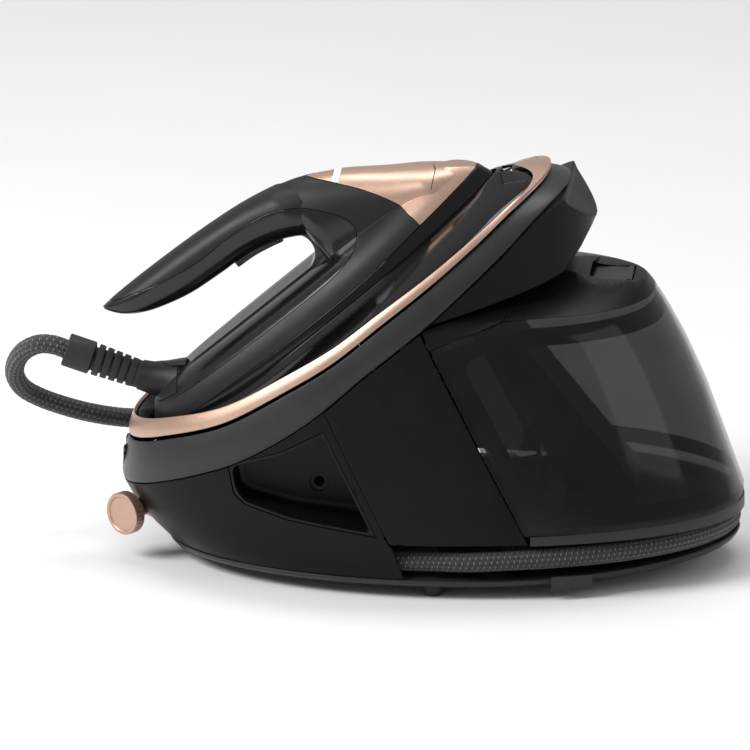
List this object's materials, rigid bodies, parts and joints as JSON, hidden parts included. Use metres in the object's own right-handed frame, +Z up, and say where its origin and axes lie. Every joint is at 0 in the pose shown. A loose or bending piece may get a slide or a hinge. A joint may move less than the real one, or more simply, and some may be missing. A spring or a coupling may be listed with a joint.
{
  "type": "steam generator iron",
  "caption": "Steam generator iron: a base with boiler, pump and sloping platform, a lift-off water tank, a steam hose, and an iron with trigger that lifts off.",
  "frame": {"origin": "centre of the footprint's bounding box without the hose, on the surface that the feet stand on", "axes": "+X from the user's end to the water tank, +Y to the far side, +Z up"},
  "size_m": [0.4993, 0.2616, 0.2741],
  "materials": {
    "matte_black": "fine matte moulding texture",
    "satin_grey": "satin",
    "gloss_black": "gloss",
    "copper": "satin metallic copper paint",
    "smoke": "smoked transparent plastic",
    "rubber": "matt",
    "braid": "woven sleeve over a silicone hose",
    "steel": "brushed",
    "aluminium": "cast",
    "white": "frosted",
    "brass": "machined",
    "board": "printed circuit board"
  },
  "bodies": {
    "base": {"base_plate": "satin_grey", "foot_front": "rubber", "foot_side_near": "rubber", "foot_side_far": "rubber", "foot_rear": "rubber", "lower_hull": "matte_black", "side_panel_near": "matte_black", "side_panel_far": "matte_black", "cord_pocket": "matte_black", "cord_inlet": "rubber", "tank_shelf": "satin_grey", "groove_wall": "matte_black", "upper_shell": "satin_grey", "trim_ring": "copper", "rear_block": "matte_black", "hose_clip": "satin_grey", "platform_rim": "gloss_black", "platform_tray": "matte_black", "rest_pad_heel": "rubber", "rest_pad_near": "rubber", "rest_pad_far": "rubber", "lock_panel": "gloss_black", "drain_seat": "brass", "drain_tube": "rubber", "boiler": "aluminium", "heater_band": "steel", "boiler_cradle": "steel", "boiler_thermostat": "steel", "steam_valve": "steel", "pump": "steel", "pump_bracket": "rubber", "control_board": "board", "tank_coupling": "rubber", "water_tube": "rubber", "hose_gland": "rubber", "steam_tube": "rubber", "hose_base_side": "braid"},
    "lock_button": {"lock_button": "gloss_black"},
    "lock_hook": {"lock_hook": "steel"},
    "power_button": {"power_button": "gloss_black"},
    "mode_button": {"mode_button": "gloss_black"},
    "descale_knob": {"descale_knob": "copper"},
    "water_tank": {"tank_shell": "smoke", "tank_top": "matte_black", "tank_column": "matte_black", "tank_valve": "rubber", "lid_pin": "steel"},
    "fill_lid": {"fill_lid": "matte_black"},
    "iron": {"iron_skirt": "gloss_black", "iron_body": "matte_black", "copper_hood": "copper", "light_strip": "white", "handle_shell": "matte_black", "handle_liner": "gloss_black", "soleplate": "steel", "steam_block": "aluminium", "trigger_pin": "steel", "strain_relief": "rubber", "hose_iron_end": "braid"},
    "steam_trigger": {"steam_trigger": "gloss_black"}
  },
  "joints": [
    {"name": "iron_lift", "type": "slide", "parent": "base", "child": "iron", "axis": [-0.6428, 0, 0.766], "range_m": [0, 0.1]},
    {"name": "tank_draw", "type": "slide", "parent": "base", "child": "water_tank", "axis": [0.9703, 0, 0.2419], "range_m": [0, 0.12]},
    {"name": "fill_lid_hinge", "type": "hinge", "parent": "water_tank", "child": "fill_lid", "pos_m": [0.1521, 0, 0.1948], "axis": [0, 1, 0], "range_deg": [0, 95]},
    {"name": "steam_trigger_pivot", "type": "hinge", "parent": "iron", "child": "steam_trigger", "pos_m": [-0.08474, 0, 0.21785], "axis": [0, 1, 0], "range_deg": [0, 6], "stiffness_Nm_per_rad": 0.08, "springref_deg": -17.19},
    {"name": "lock_press", "type": "slide", "parent": "base", "child": "lock_button", "axis": [0.6428, 0, -0.766], "range_m": [0, 0.0025], "stiffness_N_per_m": 500, "springref_m": -0.002},
    {"name": "lock_hook_slide", "type": "slide", "parent": "base", "child": "lock_hook", "axis": [0.766, 0, 0.6428], "range_m": [0, 0.0025], "stiffness_N_per_m": 300, "springref_m": -0.002},
    {"name": "power_press", "type": "slide", "parent": "base", "child": "power_button", "axis": [1, 0, 0], "range_m": [0, 0.0012], "stiffness_N_per_m": 600, "springref_m": -0.0015},
    {"name": "mode_press", "type": "slide", "parent": "base", "child": "mode_button", "axis": [1, 0, 0], "range_m": [0, 0.0012], "stiffness_N_per_m": 600, "springref_m": -0.0015},
    {"name": "descale_turn", "type": "hinge", "parent": "base", "child": "descale_knob", "pos_m": [-0.163, -0.009, 0.034], "axis": [-0.6598, -0.7498, -0.05], "range_deg": [0, 90]}
  ],
  "couplings": [
    {"joint": "lock_hook_slide", "follows": "lock_press", "ratio": 1}
  ]
}
